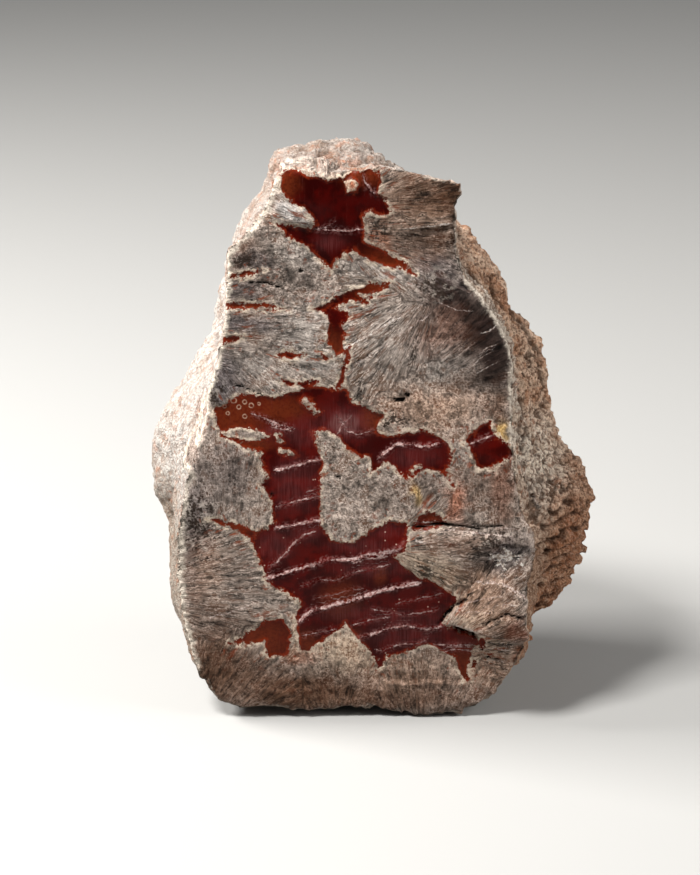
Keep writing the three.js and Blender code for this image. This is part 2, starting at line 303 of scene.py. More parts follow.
# White seams that cross the agate where its broken surface steps: the width in mm, the height of
# the step as a share of FULL_STEP, and how clearly the seam shows on the grey stone. The stone
# below a seam stands out by the step.
FULL_STEP = 1.5  # mm in the agate, and a quarter of that in the grey stone
VEINS = [
    vein([(-15.5, 40.3), (-12.5, 41), (-9.5, 42), (-7.6, 42.2)], 0.42, 0.25),
    vein([(-15.1, 34.7), (-11.7, 35.7), (-8, 36.6)], 0.34, 0.22),
    vein([(-10.4, 37.1), (-8.1, 37.8)], 0.18, 0.05),
    vein([(-15.6, 31.3), (-12, 32), (-9.5, 32.6), (-7.6, 32.7)], 0.55, 0.45),
    vein([(-16.4, 25), (-14.5, 26.2), (-12.9, 28.3), (-10.9, 30.2), (-8.4, 31.3)], 0.26, 0.3),
    vein([(-18.9, 49.2), (-16.9, 48.6), (-14.2, 47.5), (-11.8, 46.9)], 0.42, 0.05),
    vein([(-15.9, 47.3), (-12, 46.5)], 0.3, 0.05),
    vein([(-5.8, 49.3), (-4.4, 48)], 0.22),
    vein([(-5.8, 45.6), (-4.5, 47.7), (-3, 49.3)], 0.24, 0.12),
    vein([(-4.4, 46.7), (-2.2, 46.1), (0.5, 46.8)], 0.24, 0.15),
    vein([(0.6, 42.1), (1.4, 42.8), (3.6, 44.7), (6.3, 44.4), (8.6, 44.2), (10.8, 44.7)], 0.6, 0.3),
    vein([(10.8, 44.7), (14, 46.1), (16.1, 47.2), (17.8, 48)], 0.25, 0.1),
    vein([(14.7, 44.4), (18.9, 45.9)], 0.4, 0.15),
    vein([(-16.7, 23.2), (-12.9, 24.4), (-8.9, 25.6), (-7.2, 26.5), (-3.6, 26.4), (-1.2, 27.2),
        (2.6, 27.7), (5, 28.7)], 0.55, 0.3),
    vein([(-3.4, 25.9), (-1.2, 26.5), (2.6, 27.1)], 0.3, 0.1),
    vein([(-11.6, 22), (-8, 23.2), (-5.7, 23), (-2.7, 24.4), (3, 25.7)], 0.2, 0.22),
    vein([(-9.6, 19.9), (-5.7, 20.7), (-3.6, 21.5), (-1, 21.7)], 0.18, 0.12),
    vein([(-11.8, 16), (-9.4, 18.1), (-4.6, 19.4), (-1.1, 20.6), (2.7, 21.7), (7.8, 22.9)], 0.75, 0.35),
    vein([(-11.4, 13.7), (-8.5, 14.4), (-5.5, 15)], 0.24, 0.12),
    vein([(-3.5, 15.4), (0.1, 16.7), (3, 17)], 0.2, 0.15),
    vein([(-2.4, 13.3), (0.3, 14.2), (2.6, 15.1), (5.1, 15.5), (8.9, 14.9), (11.2, 15.4)], 0.5, 0.25),
    vein([(0.1, 11.4), (1.4, 11.3), (4.2, 12.3), (7.2, 12.4), (9, 13.5)], 0.32, 0.15),
    vein([(-0.6, 18.4), (4.5, 17.3), (7.4, 17.5), (10.6, 18.4)], 0.2, 0.15),
    vein([(3.3, 19.1), (7, 19.9), (11.2, 21)], 0.2, 0.18),
    vein([(9.3, 12.4), (12.9, 12.1), (16, 12.3)], 0.3, 0.12),
    vein([(10.4, 11), (13.4, 11.5), (16, 11.2)], 0.24, 0.1),
    vein([(-9.1, 77.5), (-6.8, 78.1), (-5.5, 79)], 0.2, 0.1),
    vein([(-9, 77.7), (-3.5, 77.4), (-1.3, 77.7)], 0.28, 0.12),
    vein([(-1.7, 86.4), (-1.2, 84.8), (-0.1, 83.4), (1, 82.6)], 0.5),
    vein([(-0.6, 33.6), (2, 33.4), (5, 32.9)], 0.35, 0.1),
    vein([(-4.5, 59.5), (2, 63.4), (8.2, 66.6)], 0.3, 0.35, 0.8),
    vein([(-3, 57), (3.2, 61), (9, 65.2)], 0.24, 0.3, 0.6),
    vein([(4, 77.5), (7.8, 77.7), (13.1, 78.2)], 0.34, 0, 0.9),
    vein([(6, 32.5), (9, 32.2), (13, 32.1), (17.5, 31.5), (23, 31)], 0.22, 0, 0.5),
    vein([(6.6, 31), (11.8, 31.2), (16.9, 30.6), (22, 30)], 0.26, 0, 0.5),
    vein([(17.9, 26.4), (19.6, 27), (21.4, 26.6), (24.6, 27.7)], 0.9, 0, 1),
    vein([(19, 25.2), (21.2, 26.3), (23.6, 25.5)], 1, 0, 1),
    vein([(20.2, 28.4), (21.4, 26.8), (22.2, 25)], 1, 0, 1),
    vein([(17.6, 27.6), (19.4, 26.6), (21, 24.4)], 0.5, 0, 1),
    vein([(6.2, 30), (8.6, 29.4), (9.9, 28.2), (10.6, 26)], 0.24, 0.1, 0.7),
    vein([(-26, 16.5), (-21, 18), (-15.5, 20.5)], 0.2, 0.1, 0.5),
    vein([(1.6, 6), (5, 5.6), (9.5, 6), (14.6, 5.7)], 0, 1.6),
    vein([(-20, 5.4), (-14, 4.6), (-8, 5)], 0, 1.2),
    vein([(-5.9, 33.7), (-3.5, 33.3), (0.5, 33.4)], 0.1, 0.8, 0.4),
    # Painted highlight: a pale line along the lit left edge of the raised block at the lower right.
    vein([(11.3, 15.5), (11.9, 17.1), (13.6, 18.9), (15, 19.7)], 0.22, 0, 0.6),
    vein([(15.8, 22.8), (18, 23.2), (20, 23), (23.4, 20.8), (25.4, 18.4)], 0.35, 0, 0.6),
    vein([(14.6, 56.3), (16.4, 57.8), (18.6, 58.8)], 0.16, 0, 0.7),
    vein([(15.4, 55), (17.6, 56.4), (19.4, 57)], 0.16, 0, 0.7),
    vein([(15.6, 57.9), (17.4, 59.3), (19.2, 60)], 0.14, 0, 0.7),
    vein([(13.4, 58.8), (15.8, 60.4)], 0.14, 0, 0.6),
    vein([(16.2, 61.6), (17.6, 61.8), (19, 62.8)], 0.16, 0, 0.7),
    vein([(9.6, 66.8), (12.4, 65.4), (15.4, 65.2)], 0.16, 0, 0.6),
    # Painted highlight: a pale band along the lit lower edge of that block.
    vein([(12, 16.2), (14.4, 15.8), (16.6, 15)], 0.4, 0, 0.7),
    vein([(13.4, 18), (15.5, 18.6), (18.6, 18.5)], 0.2, 0.4, 0.6),
    vein([(14.4, 19.8), (17, 20.6), (20.8, 21.2)], 0.2, 0.5, 0.5),
    vein([(17.4, 19.3), (19.6, 19.8), (22.6, 19.4)], 0.2, 0.4, 0.6),
    vein([(17.6, 12.7), (19.6, 12.9), (22.4, 12.3)], 0.26, 0.3, 0.8),
    vein([(17.2, 11.3), (19, 11.9), (21.6, 11.2)], 0.24, 0.3, 0.8),
    vein([(17.6, 9.4), (19.2, 9.7), (21.4, 9)], 0.22, 0.3, 0.6),
]

# Cracks: width and depth in mm. The stone below a crack stands out by its step, also in mm.
CRACKS = [
    crack([(5.6, 31.9), (6.9, 31.6), (9.1, 31.8), (12.8, 31.7), (17.5, 31)], 0.14, 0.6, 0.1),
    crack([(8.8, 31.9), (11, 31.9), (13, 31.7)], 0.36, 0.9),
    crack([(14.6, 29.4), (16, 28.4), (17.2, 26.8)], 0.1, 0.4),
    crack([(17, 13), (20, 12.4), (24, 12.2)], 0.14, 0.5, -0.3),
    crack([(16.6, 11.4), (19, 11.2), (23, 10.6)], 0.12, 0.4, -0.2),
    crack([(10, 15.4), (11.5, 17.5), (13.1, 19.2), (14.6, 20.1), (15.6, 21.4), (16, 23)], 0.17, 0.9),
    crack([(10.6, 15.8), (11.9, 17.7), (13.2, 19)], 0.3, 0.6),
    crack([(12.4, 15.4), (14.4, 14.9), (16.5, 14)], 0.5, 1.4),
    crack([(17.1, 15.8), (18.2, 17.3), (21, 18.3), (23.4, 17)], 0.2, 0.5),
    crack([(-19.5, 69.7), (-16.3, 69.6), (-13.3, 68.6)], 0.2, 0.5),
    crack([(4, 77.1), (7.8, 77.4), (13.1, 77.9)], 0.1, 0.3, -0.9),
    crack([(-22.4, 53.5), (-19.4, 53.2), (-16.5, 51.8)], 0.18, 0.4, 0.1),
    crack([(17.4, 10.4), (18.6, 9.9), (20.6, 9.8)], 0.2, 0.6),
    crack([(14.8, 32.1), (17.5, 31.4), (20.5, 31.6)], 0.16, 0.35),
]

# Plates that stand out of the face: how far, in mm, and their outline.
PLATES = [
    (1.5, [(11.4, 15.7), (12.1, 17), (13.8, 19.4), (15.1, 21.4), (15.6, 22.6), (17.8, 23.5), (20, 23.3),
        (23.5, 21), (27, 18), (27, 13.5), (22.6, 12.9), (19.5, 13.6), (16.5, 14.5), (12.6, 15.8)]),
    (0.5, [(16.5, 15.1), (18, 17), (21.1, 18.1), (23.4, 16.7), (23.8, 15.2), (23.2, 13.6), (18, 14.2)]),
    (0.55, [(3.6, 28.6), (6, 30.4), (9, 31.2), (16, 30.7), (24, 30), (24, 28.6), (17, 28.6), (13.4, 26.2),
        (10.6, 24.6), (8, 23.8), (5.2, 26)]),
    (0.4, [(-14.2, 82.5), (-12, 81.6), (-10, 80), (-8.9, 78.6), (-11.5, 78.3), (-15.5, 79.2)]),
]

# Spots of the face have a middle [x, z], half widths in mm and, where they are turned, an angle in
# degrees. Swells and hollows: first how far out of the face, in mm.
SWELLS = [
    (1.5, (15, 61), (6, 8)), (-1, (9.3, 73.3), (6, 2.6)), (-0.5, (-27, 32), (3, 6)),
    (0.4, (0, 61), (6, 6)), (0.4, (-22, 42), (4, 3.5)), (-0.7, (20, 26), (5, 2)), (-0.4, (15, 53), (4, 2)),
]

# Small holes, painted dark in the finish as the shade inside them: first their depth in mm.
HOLES = [
    (0.7, (4.2, 51.6), (1.1, 0.4)), (0.6, (5.2, 52.4), (0.5, 0.45)), (0.6, (-10.9, 71.2), (0.45, 0.4)),
    (0.6, (-22.2, 74), (0.3, 0.6)), (0.4, (-15.6, 36.4), (0.3, 0.3)), (0.35, (-5.2, 39.5), (0.5, 0.25)),
]

# Fans of fibres in the grey stone: how strong they are, the middle of their part of the face, and
# the point that they spread from.
FANS = [
    (0.75, (8.6, 83.4), (-5.5, 81.5)), (0.7, (-12.2, 80.6), (-6.2, 78)), (0.6, (8.6, 74.3), (-6, 77.5)),
    (0.9, (2, 61), (9.8, 69.5)), (0.45, (16.3, 61.5), (3, 52)), (0.15, (-15.7, 72.9), (-44, 68)),
    (0.6, (-18.8, 63.8), (-45, 62)), (0.5, (-13, 56.3), (-28, 63)), (0.4, (-21.9, 39.9), (-22.6, 12)),
    (0.1, (-3.4, 38), (-12, 55)), (0.2, (10.5, 50), (16, 30)), (0.3, (20.4, 39), (19.5, 14)),
    (0.7, (10.5, 26.5), (2.5, 28.3)), (0.7, (16.8, 19.3), (9.5, 12)), (0.7, (-24, 22.5), (-45, 20)),
    (0.5, (-19, 6.6), (-30, -6)), (0.35, (-4.5, 9.5), (-5.8, -4)), (0.45, (8, 6), (8.5, -10)),
]

# Places where the grey stone is full of small pits, which the finish paints dark as the shade inside them.
PITTED = [
    ((-27.2, 32), (3.2, 6.5)), ((-24.5, 52.5), (2, 3)), ((9.5, 69), (3, 2.4)), ((-19.5, 73), (2.4, 1.4)),
    ((2.5, 48.6), (3.4, 1.6)), ((0.8, 77.6), (2, 3)), ((8, 24.5), (2, 2.4)), ((19, 29.8), (4, 1.6)),
]

# Where the agate turns orange and the rind beside it rusty, where a lilac haze is painted on the
# agate as a reflection, and where that painted reflection is brightest.
EMBERS = [
    ((-21, 49), (5.5, 3.6)), ((-14.5, 50), (5, 2)), ((-18, 44.4), (3, 1)), ((-17.5, 13), (5, 4)),
    ((-10.5, 12.5), (2, 2.5)), ((15, 9), (3, 4)), ((-22, 31.5), (4, 1.6)), ((-13.4, 84.6), (2.2, 2.4)),
    ((-18, 66), (6, 8)), ((1.5, 70.5), (5, 4)), ((-1.5, 85.5), (3, 1.6)), ((0, 48.6), (2, 2)),
    ((-2.8, 12.6), (1.5, 2.4)), ((-5, 20), (3, 3)), ((-6, 59), (2.5, 3)), ((-21, 79.5), (2.4, 3)),
    ((-4, 88), (4, 1.6)), ((24, 11), (1.6, 1.6)), ((1.2, 23.8), (1, 1.4)), ((9.6, 33), (3, 2)),
]
HAZE_REFLECTIONS = [
    ((-4.4, 47.8), (4.5, 2.6)), ((-11.8, 38.5), (3.4, 4.5)), ((-15, 28.6), (2.8, 2.4)),
    ((-10.5, 46.5), (3, 2.4)), ((0, 25), (6, 1.4)), ((-2, 28.7), (5, 1.3)), ((5, 13.8), (6, 1.8)),
    ((11, 16.2), (3, 2)), ((-10.5, 30.8), (3, 1.6)), ((-15, 46.4), (3, 1)), ((-4, 17.8), (5, 1.4)),
    ((4, 16.4), (5, 1.6)), ((6, 42.6), (4, 1.8)), ((13.5, 12.4), (2.6, 0.8)), ((-6.5, 75.6), (2.4, 1.2)),
    ((2, 31), (3, 1.4)),
]
BRIGHT_HAZE_REFLECTION = ((-4.4, 47.8), (2.6, 1.8))

# Tones of the grey stone. It is ash grey where it takes no other: first the tone, and how fully.
ASH = (0.2, 0.157, 0.131)
PALE = (0.29, 0.255, 0.228)
SILVER = (0.36, 0.33, 0.31)
TAN = (0.28, 0.175, 0.12)
UMBER = (0.076, 0.035, 0.018)
DUSK = (0.135, 0.10, 0.082)
SMOKE = (0.022, 0.012, 0.010)
SLATE = (0.062, 0.052, 0.056)
CREAM = (0.37, 0.275, 0.2)
STRAW = (0.38, 0.23, 0.06)
RUST = (0.26, 0.07, 0.022)
LIVER = (0.10, 0.034, 0.018)
RUSSET = (0.125, 0.062, 0.042)
TONES = [
    (DUSK, 0.75, (-20, 70.5), (7, 6)), (DUSK, 0.6, (-17, 63.5), (5, 2.2)),
    (DUSK, 0.6, (-21, 24), (6, 3), -20), (DUSK, 0.8, (-22, 41), (5, 4.5)),
    (DUSK, 0.5, (-13, 59), (4, 1.4)), (DUSK, 0.7, (-24.5, 17), (4, 5)), (PALE, 0.7, (-10, 61.5), (5, 4.5)),
    (PALE, 0.6, (-17, 56), (4, 2.4), -20), (PALE, 0.3, (0.5, 61), (7, 6)),
    (PALE, 0.5, (-11, 74.5), (4, 4)), (TAN, 0.7, (7, 82), (8, 6)),
    (UMBER, 0.75, (9.4, 82.4), (7, 3.8), -8), (UMBER, 0.9, (12.2, 83.4), (3.4, 2.6), -20),
    (SILVER, 1, (-12, 80.6), (3, 2), -30), (UMBER, 0.65, (1.4, 77.4), (2.6, 3.8)),
    (UMBER, 0.7, (7.6, 73.2), (5, 2.8)), (UMBER, 0.5, (9, 80.6), (6, 1.6)),
    (DUSK, 0.75, (9.5, 37.8), (8, 4.4)), (DUSK, 0.8, (-24.6, 56), (1.6, 9)),
    (UMBER, 0.45, (16.8, 39), (3, 4.6)), (UMBER, 0.6, (-27.4, 24), (1.8, 8)),
    (PALE, 0.6, (0.5, 71.2), (6, 1.6), -10), (UMBER, 0.6, (9.4, 76), (5, 1.6), 4),
    (SLATE, 0.7, (10.3, 70), (4.4, 3.4), -30), (SMOKE, 0.96, (12.6, 66.2), (5.8, 3.9), -40),
    (SMOKE, 0.97, (16.6, 61.8), (4.6, 4.6), -30), (SMOKE, 0.97, (18.6, 56.8), (3.8, 5), 10),
    (RUSSET, 0.75, (10.3, 61.5), (4.6, 4.4)), (RUSSET, 0.3, (13.6, 55), (3, 3)),
    (RUSSET, 0.4, (-5, 64), (2, 1), 30), (TAN, 0.75, (9, 50), (8, 3.4)),
    (UMBER, 0.75, (19, 49.5), (2.2, 3.4)), (STRAW, 0.8, (20, 46.2), (1.2, 1.6)),
    (STRAW, 0.7, (6.8, 37.2), (0.9, 1.9), 15), (RUST, 0.6, (13, 35.5), (1.6, 3.2)),
    (UMBER, 0.75, (20.2, 37), (2, 5.8)), (RUSSET, 0.7, (19.8, 38), (1.8, 6)),
    (SLATE, 0.85, (-22.8, 54), (3.6, 5)), (SLATE, 0.75, (-20.2, 63.2), (5.5, 1.6)),
    (SLATE, 0.5, (-20.5, 68.3), (4.5, 1.5)), (SLATE, 0.65, (-27.6, 31), (3, 9.5)),
    (PALE, 0.6, (11, 56.4), (4, 3)), (PALE, 0.6, (-8, 56.6), (4, 2)),
    (UMBER, 0.5, (15.6, 19.3), (3.4, 0.7), 22), (UMBER, 0.7, (8, 6.2), (7, 1)),
    (SLATE, 0.35, (-22.5, 40), (4, 6)), (UMBER, 0.75, (-21.5, 74.6), (4, 3)),
    (SLATE, 0.55, (-18.5, 73), (3.4, 1.4)), (SMOKE, 0.3, (-10.5, 70), (3, 2.4)),
    (CREAM, 0.85, (-4.3, 11.3), (5.5, 4)), (CREAM, 0.6, (5, 26), (3.5, 3)),
    (UMBER, 0.6, (13.5, 29.2), (8, 1.6), -3), (CREAM, 0.8, (9.6, 24.8), (5, 2.8), -25),
    (SLATE, 0.8, (20.2, 27), (4.2, 2.8), 20), (UMBER, 0.5, (16.5, 24), (3, 2), -30),
    (TAN, 0.85, (17, 20), (5, 4.5)), (UMBER, 0.4, (17.6, 20.4), (4, 3)),
    (UMBER, 0.6, (20.4, 15.8), (3.4, 2.4)), (CREAM, 0.6, (18, 12.6), (3, 1.6)),
    (LIVER, 0.8, (22, 15.4), (1.8, 1.7)), (CREAM, 0.45, (15.5, 17), (3.2, 1.3), 10),
    (RUST, 0.9, (22.8, 11), (1, 1.2)), (TAN, 0.7, (18, 8.5), (5, 4)), (UMBER, 0.85, (3, 3.4), (18, 3)),
    (TAN, 0.6, (5, 8), (9, 3)), (UMBER, 0.9, (-24.5, 8.5), (6.5, 8), -20),
    (UMBER, 0.92, (-12, 4.6), (10, 4)), (UMBER, 0.5, (-18, 8), (4, 3)), (TAN, 0.4, (-26, 25), (3, 5)),
    (RUST, 0.35, (0.8, 75.8), (2.2, 1.6)), (CREAM, 0.9, (-12.1, 13.4), (0.9, 3.4)),
    (RUST, 0.45, (-11.6, 10.4), (2.4, 1.6)), (RUST, 0.9, (-3.2, 84.3), (2, 1.8)),
]


def steps(values, low, high):
    """0 below low, 1 above high, and a smooth rise between."""
    share = np.clip((values - low) / (high - low), 0, 1)
    return share * share * (3 - 2 * share)


def waves(at, size, seed=0.0):
    """Smooth noise from -1 to 1, whose waves are about `size` mm long."""
    return np.array([noise.noise(p) for p in (at / size + seed).tolist()])


def depth_in(outline, u, w):
    """How far inside an outline each point lies, negative outside."""
    inside = np.zeros(u.shape, bool)
    nearest = np.full(u.shape, np.inf)
    for (u0, w0), (u1, w1) in zip(outline, outline[1:] + outline[:1]):
        du, dw = u1 - u0, w1 - w0
        along = np.clip(((u - u0) * du + (w - w0) * dw) / (du * du + dw * dw), 0, 1)
        nearest = np.minimum(nearest, np.hypot(u - u0 - along * du, w - w0 - along * dw))
        crossing = (w0 > w) != (w1 > w)
        inside ^= crossing & (u < u0 + (w - w0) * du / (dw or 1))
    return np.where(inside, nearest, -nearest)


def across(line, u, w):
    """Height above a left-to-right line, square to it, and how far its ends have tapered it."""
    us, ws = np.array(line["path"]).T
    smooth_u = np.linspace(us[0], us[-1], 60)
    smooth_w = np.interp(smooth_u, us, ws)
    smooth_w[1:-1] = (smooth_w[:-2] + smooth_w[1:-1] + smooth_w[2:]) / 3
    slope = np.gradient(smooth_w, smooth_u)
    tilt = np.sqrt(1 + np.interp(u, smooth_u, slope) ** 2)
    height = (w - np.interp(u, smooth_u, smooth_w)) / tilt
    reach = np.minimum(u - us[0], us[-1] - u)
    return height, steps(reach, -0.1, 0.7)


def ledge_below(height, edge, fade):
    """1 just below a line, 0 above it, fading out further down."""
    return steps(-height, -edge, edge) * np.exp(-np.maximum(-height, 0) / fade)


def spot(u, w, at, size, turn=0):
    """1 in the middle of a spot, falling to 0 past its half widths."""
    turn = math.radians(turn)
    du, dw = u - at[0], w - at[1]
    a = (du * math.cos(turn) + dw * math.sin(turn)) / size[0]
    b = (dw * math.cos(turn) - du * math.sin(turn)) / size[1]
    return np.exp(-((a * a + b * b) ** 1.5))


def any_spot(places):
    """The strongest of some spots of the face, at each point."""
    return np.max([spot(face_x, face_z, *place) for place in places], axis=0)


# The outlines wander a little, as the edges of the agate do.
FAR = 9.0  # mm, past every mark
sway_x = waves(points, 1.7, 5.3)
sway_z = waves(points, 1.7, 17.1)
fray = waves(points, 0.7, 31.9)
face_x = x + 0.4 * sway_x + 0.25 * fray
face_z = z + 0.32 * sway_z - 0.22 * fray
on_x, on_z = face_x[is_face], face_z[is_face]

agate_depth = np.full(count, -FAR)  # mm inside the agate
for outline in AGATE.values():
    agate_depth[is_face] = np.maximum(agate_depth[is_face], depth_in(outline, on_x, on_z))
for outline in ISLANDS.values():
    agate_depth[is_face] = np.minimum(agate_depth[is_face], -depth_in(outline, on_x, on_z))
agate_depth = np.clip(agate_depth, -4, 4)
in_agate = steps(agate_depth, -0.15, 0.35)

seam_gap = np.full(count, FAR)  # mm above the nearest vein, negative below it
seam_width = np.zeros(count)
seam_step = np.zeros(count)
seam_in_stone = np.zeros(count)
for line in VEINS:
    height, ends = across(line, x + 0.2 * sway_x, z + 0.12 * sway_z + 0.1 * fray)
    height = np.where(ends > 0, height, FAR)
    closer = np.abs(height) < np.abs(seam_gap)
    seam_gap = np.where(closer, height, seam_gap)
    seam_width = np.where(closer, line["width"] * ends, seam_width)
    seam_in_stone = np.where(closer, line["in_stone"], seam_in_stone)
    seam_step += line["step"] * ends * ledge_below(height, 0.08, 1.6) * (np.abs(height) < 5)
seam_width *= 1 - steps(np.abs(seam_gap), 0.6, 1.0)  # no width midway between two veins

crack_open = np.zeros(count)
crack_depth = np.zeros(count)
crack_step = np.zeros(count)
for line in CRACKS:
    height, ends = across(line, x + 0.2 * sway_x, z + 0.15 * sway_z + 0.12 * fray)
    half = line["width"] * (0.75 + 0.6 * fray)
    opening = ends * (1 - steps(np.abs(height), half * 0.3, half + 0.1))
    crack_open = np.maximum(crack_open, opening)
    crack_depth = np.maximum(crack_depth, line["depth"] * opening)
    crack_step += line["step"] * ends * ledge_below(height, 0.1, 2.2) * (np.abs(height) < 6)
for depth, *place in HOLES:
    opening = spot(face_x, face_z, *place)
    crack_open = np.maximum(crack_open, steps(opening, 0.25, 0.75))
    crack_depth = np.maximum(crack_depth, depth * steps(opening, 0.1, 0.8))
crack_open[~is_face] = 0
crack_depth[~is_face] = 0

# Where a point is in its fan: mm along the fibres, mm across them, and a number of the fan's own.
fibre = np.zeros((count, 3))
fibre_strength = np.zeros(count)
nearest_fan = np.full(count, np.inf)
for k, (strength, at, source) in enumerate(FANS):
    from_fan = np.hypot(x + 2.2 * sway_x - at[0], z + 2.2 * sway_z - at[1])
    du, dw = x - source[0], z - source[1]
    reach = math.hypot(at[0] - source[0], at[1] - source[1])
    theirs = np.stack([np.hypot(du, dw), np.arctan2(dw, du) * reach, np.full(count, 7.0 * k)], 1)
    closer = from_fan < nearest_fan
    fibre[closer] = theirs[closer]
    fibre_strength[closer] = strength
    nearest_fan = np.minimum(nearest_fan, from_fan)

tone = np.tile(ASH, (count, 1))
for shade, share, *place in TONES:
    taken = share * spot(face_x + 0.8 * sway_x, face_z + 0.8 * sway_z, *place)
    tone += taken[:, None] * (np.array(shade) - tone)

ember = any_spot(EMBERS) * (1 - steps(behind, 3, 8))
# Where a lilac reflection is painted on the agate, brightest at one spot.
painted_haze = any_spot(HAZE_REFLECTIONS) + 1.2 * any_spot([BRIGHT_HAZE_REFLECTION])
pitted = any_spot(PITTED)


# ---- The relief of the stone ----
# The face breaks rough and fibrous, smooth in the agate, with steps at the seams. The skin is
# spongy: knobs with dark gaps between them, in columns at the right and layers at the lower right.
# Every height is in mm.

AGATE_DIP = 0.22  # mm, how much lower the agate lies than the grey stone
KNOB = 2.4  # mm, the width of the skin's knobs
GRAIN = 1.1  # mm, the width of the smaller grains on them
COLUMN = (7.0, 1.7, 2.6)  # mm, a column's size down the flank, across it and into the stone
LAYER = 2.4  # mm, the height of a layer
SPLIT = 0.17  # the half width of the split between two layers, as a share of a layer
TEETH_FROM = 22  # mm, the height of the point that the rim's teeth point away from
LOBE_TIP = ((13.4, 84.4), (3.6, 2.6))  # the tip of the lobe at the top right
LOBE_PULL = (1.9, 0, 0.7)  # mm, how far the tip is drawn out
LIGHT_PATCH = ((25.4, 40.8), (8, 3.4), -54)  # where the right flank is lightest


def grains(at, size, seed=0.0):
    """How far a point is from a grain's middle, and from the crease between two, in grain sizes."""
    near = [noise.voronoi(p)[0] for p in (at / size + seed).tolist()]
    return np.array([n[0] for n in near]), np.array([n[1] - n[0] for n in near])


striae = 0.6 * waves(fibre * (0.13, 0.7, 1), 1) + 0.4 * waves(fibre * (0.3, 1.9, 1), 1)
splinters = 0.22 * fibre_strength * striae + 0.10 * waves(points, 0.95, 3.1) + 0.06 * fray
coarse = 0.32 * waves(points, 5, 9.7)
smooth_swell = 0.12 * waves(points, 3.4, 13.3)
crumbs = 0.10 * waves(points, 0.6, 41)
seam_ridge = np.exp(-((seam_gap / np.maximum(seam_width * 0.7, 0.05)) ** 2)) * (seam_width > 0)
face_rise = (1 - in_agate) * (splinters + coarse + 0.5 * crumbs)
face_rise += in_agate * (smooth_swell - AGATE_DIP)
face_rise += FULL_STEP * seam_step * (0.25 + 0.75 * in_agate) + crack_step
face_rise += seam_ridge * (0.02 + 0.5 * crumbs) * in_agate
face_rise -= crack_depth
for out, outline in PLATES:
    face_rise[is_face] += out * steps(depth_in(outline, on_x, on_z), -0.1, 0.45)
for out, *place in SWELLS:
    face_rise += out * spot(face_x, face_z, *place)
worn_rim = 1 - steps(rim_gap, 0, 1.6)
rim_lumps = waves(points, 2, 95) * steps(x, 4, 10) * steps(z, 34, 40)
left_rim = 1 - steps(x, -25, -15)
face_rise += worn_rim * (0.22 * sway_x - 0.15 + 0.5 * rim_lumps + 0.4 * left_rim * fray)

right = steps(x + 2 * sway_x, 6, 17) * steps(z, 2, 10)
layers = steps(x, 14, 22) * steps(z, 8, 14) * (1 - steps(z, 28, 35))
columns = steps(x, 9, 15) * steps(z, 42, 50)
crest = steps(z, 80, 86)
warp = np.stack([waves(points, 2.1, seed) for seed in (61, 67, 71)], 1)
warped = points + 0.9 * warp
near_knob, knob_crease = grains(warped, KNOB, 2.2)
near_grain, grain_crease = grains(warped, GRAIN, 8.4)
knob = 0.5 - near_knob - 0.3 * (1 - steps(knob_crease, 0, 0.2))
grain = 0.5 - near_grain - 0.25 * (1 - steps(grain_crease, 0, 0.25))
patch = 0.5 + 0.5 * steps(waves(points, 4, 83), -0.3, 0.4)
down_flank = np.stack([x * 0.42 - z * 0.9, x * 0.9 + z * 0.42, y], 1)
column_rise = waves(down_flank * (1 / np.array(COLUMN)), 1, 4.4)
layer_at = (z + 0.12 * x + 2.6 * waves(points, 6, 21) + 0.8 * waves(points, 2.2, 23)) / LAYER
layer_gap = np.exp(-((0.5 - np.abs(layer_at % 1 - 0.5)) / SPLIT) ** 2)
layer_rise = 0.45 * (0.8 + waves(points, 3.5, 29)) - (1.4 + 1.9 * waves(points, 2.6, 33)) * layer_gap
pits = steps(waves(points, 0.95, 55), 0.25, 0.5)
knobbly = (0.62 + 0.5 * right + 1.1 * crest) * patch * (1 - 0.5 * layers)
rind_rise = knobbly * (0.6 * knob + 0.45 * grain) + 0.36 * right * (1 - 0.5 * layers) * grain
rind_rise += 0.3 * waves(points, 1.6, 91)
rind_rise += 1.1 * columns * column_rise + layers * layer_rise
rind_rise += 0.12 * fray - (0.36 + 0.06 * right) * pits
rind_rise *= 1 - 0.45 * (1 - steps(behind, 0.5, 3.5))  # calmer next to the face

foot = steps(z, 0.05, 0.9)  # the flat spot that the stone rests on stays as it is
moved = points + np.where(is_face, face_rise, 0)[:, None] * FACE_OUT
moved += np.where(is_face, 0, rind_rise * foot)[:, None] * outward
up = z - TEETH_FROM
teeth_way = np.stack([x, np.zeros(count), up], 1) / np.maximum(np.hypot(x, up), 1)[:, None]
toothed = (1 - steps(z, 12, 18)) * (0.45 + 0.55 * steps(x, -12, 6))
rim_teeth = np.maximum(0, waves(points * (1, 0.35, 1), 1.3, 77)) * np.maximum(toothed, 0.55 * left_rim)
rim_teeth *= np.where(is_face, 1 - steps(rim_gap, 0.3, 1.2), 1 - steps(behind, 2, 5)) * foot
moved += 1.3 * rim_teeth[:, None] * teeth_way
lobe_tip = spot(x, z, *LOBE_TIP) * (1 - steps(behind, 2, 7))
moved += lobe_tip[:, None] * LOBE_PULL
moved[:, 2] = np.maximum(moved[:, 2], 0)
nodule_mesh.vertices.foreach_set("co", (moved * MM).ravel())
nodule_mesh.update()
for polygon in nodule_mesh.polygons:
    polygon.use_smooth = True


def keep(name, *values):
    """Stores one value, three or a colour's four at every vertex, for the stone's finish to read."""
    kinds = {1: ("FLOAT", "value"), 3: ("FLOAT_VECTOR", "vector"), 4: ("FLOAT_COLOR", "color")}
    kind, field = kinds[len(values)]
    attribute = nodule_mesh.attributes.new(name, kind, "POINT")
    attribute.data.foreach_set(field, np.stack(values, 1).astype(np.float32).ravel())


# A pale crust edges the face. It is drawn wide at the left and the upper right, where the rim catches
# the light, so there it is partly painted rim light, and it is thin elsewhere.
pale_and_lit_rim = np.maximum(1 - steps(x, -16, -4), 0.7 * steps(x, 12, 16) * steps(z, 36, 44)) * steps(z, 5, 12)

